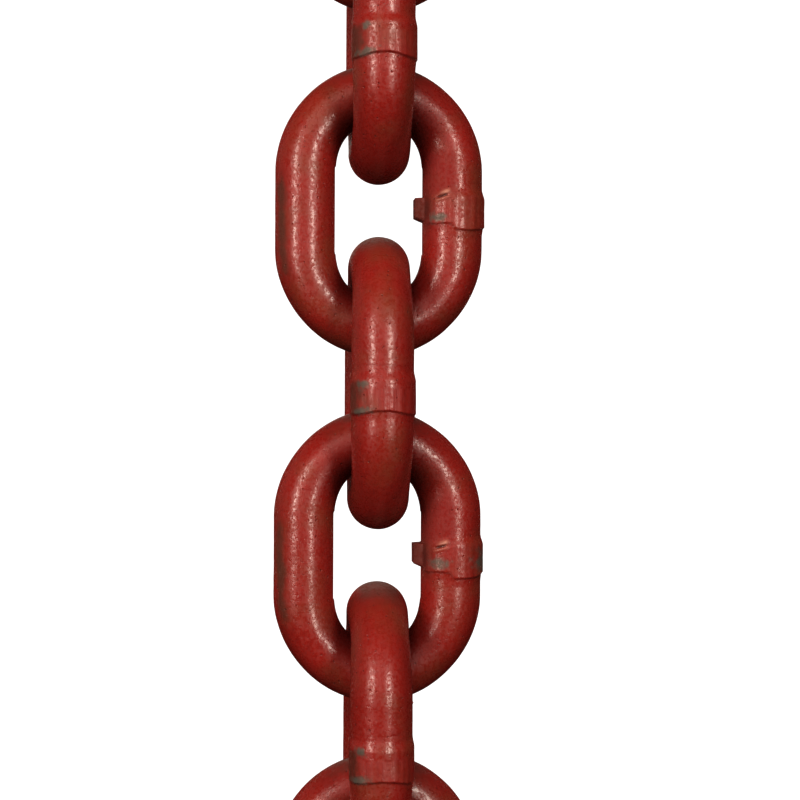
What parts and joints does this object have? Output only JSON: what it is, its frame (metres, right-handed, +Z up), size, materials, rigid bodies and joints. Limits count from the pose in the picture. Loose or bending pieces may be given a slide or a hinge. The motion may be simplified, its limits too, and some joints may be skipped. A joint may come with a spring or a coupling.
{
  "type": "load binder chain",
  "caption": "Length of welded steel binder chain: short oval links of round bar, each turned a quarter turn from the next, flash-welded on one leg, swinging freely.",
  "frame": {"origin": "the bearing point of the top end link's eye, at the top of its inside, where a hook or a shackle pin carries the chain", "axes": "+Z up along the hanging chain, which hangs along -Z; -Y is the front, which the edge-on links' welds face; +X is the side of the flat links' welds"},
  "size_m": [0.0344, 0.0344, 0.6119],
  "materials": {
    "red_paint": "dark red dipped paint, semi-gloss, rubbed to bare steel in small patches at the welds"
  },
  "bodies": {
    "top_end_link": {"top_end_link": "red_paint"},
    "link_02": {"link_02": "red_paint"},
    "link_03": {"link_03": "red_paint"},
    "link_04": {"link_04": "red_paint"},
    "link_05": {"link_05": "red_paint"},
    "link_06": {"link_06": "red_paint"},
    "link_07": {"link_07": "red_paint"},
    "link_08": {"link_08": "red_paint"},
    "link_09": {"link_09": "red_paint"},
    "link_10": {"link_10": "red_paint"},
    "link_11": {"link_11": "red_paint"},
    "link_12": {"link_12": "red_paint"},
    "link_13": {"link_13": "red_paint"},
    "link_14": {"link_14": "red_paint"},
    "link_15": {"link_15": "red_paint"},
    "link_16": {"link_16": "red_paint"},
    "link_17": {"link_17": "red_paint"},
    "link_18": {"link_18": "red_paint"},
    "link_19": {"link_19": "red_paint"},
    "link_20": {"link_20": "red_paint"},
    "bottom_end_link": {"bottom_end_link": "red_paint"}
  },
  "joints": [
    {"name": "link_02_swing", "type": "hinge", "parent": "top_end_link", "child": "link_02", "pos_m": [0, 0, -0.0335], "axis": [0, 1, 0], "range_deg": [-110, 110]},
    {"name": "link_03_swing", "type": "hinge", "parent": "link_02", "child": "link_03", "pos_m": [0, 0, -0.0617], "axis": [1, 0, 0], "range_deg": [-110, 110]},
    {"name": "link_04_swing", "type": "hinge", "parent": "link_03", "child": "link_04", "pos_m": [0, 0, -0.0899], "axis": [0, -1, 0], "range_deg": [-110, 110]},
    {"name": "link_05_swing", "type": "hinge", "parent": "link_04", "child": "link_05", "pos_m": [0, 0, -0.1181], "axis": [-1, 0, 0], "range_deg": [-110, 110]},
    {"name": "link_06_swing", "type": "hinge", "parent": "link_05", "child": "link_06", "pos_m": [0, 0, -0.1463], "axis": [0, 1, 0], "range_deg": [-110, 110]},
    {"name": "link_07_swing", "type": "hinge", "parent": "link_06", "child": "link_07", "pos_m": [0, 0, -0.1745], "axis": [1, 0, 0], "range_deg": [-110, 110]},
    {"name": "link_08_swing", "type": "hinge", "parent": "link_07", "child": "link_08", "pos_m": [0, 0, -0.2027], "axis": [0, -1, 0], "range_deg": [-110, 110]},
    {"name": "link_09_swing", "type": "hinge", "parent": "link_08", "child": "link_09", "pos_m": [0, 0, -0.2309], "axis": [-1, 0, 0], "range_deg": [-110, 110]},
    {"name": "link_10_swing", "type": "hinge", "parent": "link_09", "child": "link_10", "pos_m": [0, 0, -0.2591], "axis": [0, 1, 0], "range_deg": [-110, 110]},
    {"name": "link_11_swing", "type": "hinge", "parent": "link_10", "child": "link_11", "pos_m": [0, 0, -0.2873], "axis": [1, 0, 0], "range_deg": [-110, 110]},
    {"name": "link_12_swing", "type": "hinge", "parent": "link_11", "child": "link_12", "pos_m": [0, 0, -0.3155], "axis": [0, -1, 0], "range_deg": [-110, 110]},
    {"name": "link_13_swing", "type": "hinge", "parent": "link_12", "child": "link_13", "pos_m": [0, 0, -0.3437], "axis": [-1, 0, 0], "range_deg": [-110, 110]},
    {"name": "link_14_swing", "type": "hinge", "parent": "link_13", "child": "link_14", "pos_m": [0, 0, -0.3719], "axis": [0, 1, 0], "range_deg": [-110, 110]},
    {"name": "link_15_swing", "type": "hinge", "parent": "link_14", "child": "link_15", "pos_m": [0, 0, -0.4001], "axis": [1, 0, 0], "range_deg": [-110, 110]},
    {"name": "link_16_swing", "type": "hinge", "parent": "link_15", "child": "link_16", "pos_m": [0, 0, -0.4283], "axis": [0, -1, 0], "range_deg": [-110, 110]},
    {"name": "link_17_swing", "type": "hinge", "parent": "link_16", "child": "link_17", "pos_m": [0, 0, -0.4565], "axis": [-1, 0, 0], "range_deg": [-110, 110]},
    {"name": "link_18_swing", "type": "hinge", "parent": "link_17", "child": "link_18", "pos_m": [0, 0, -0.4847], "axis": [0, 1, 0], "range_deg": [-110, 110]},
    {"name": "link_19_swing", "type": "hinge", "parent": "link_18", "child": "link_19", "pos_m": [0, 0, -0.5129], "axis": [1, 0, 0], "range_deg": [-110, 110]},
    {"name": "link_20_swing", "type": "hinge", "parent": "link_19", "child": "link_20", "pos_m": [0, 0, -0.5411], "axis": [0, -1, 0], "range_deg": [-110, 110]},
    {"name": "bottom_end_link_swing", "type": "hinge", "parent": "link_20", "child": "bottom_end_link", "pos_m": [0, 0, -0.5693], "axis": [-1, 0, 0], "range_deg": [-110, 110]}
  ]
}
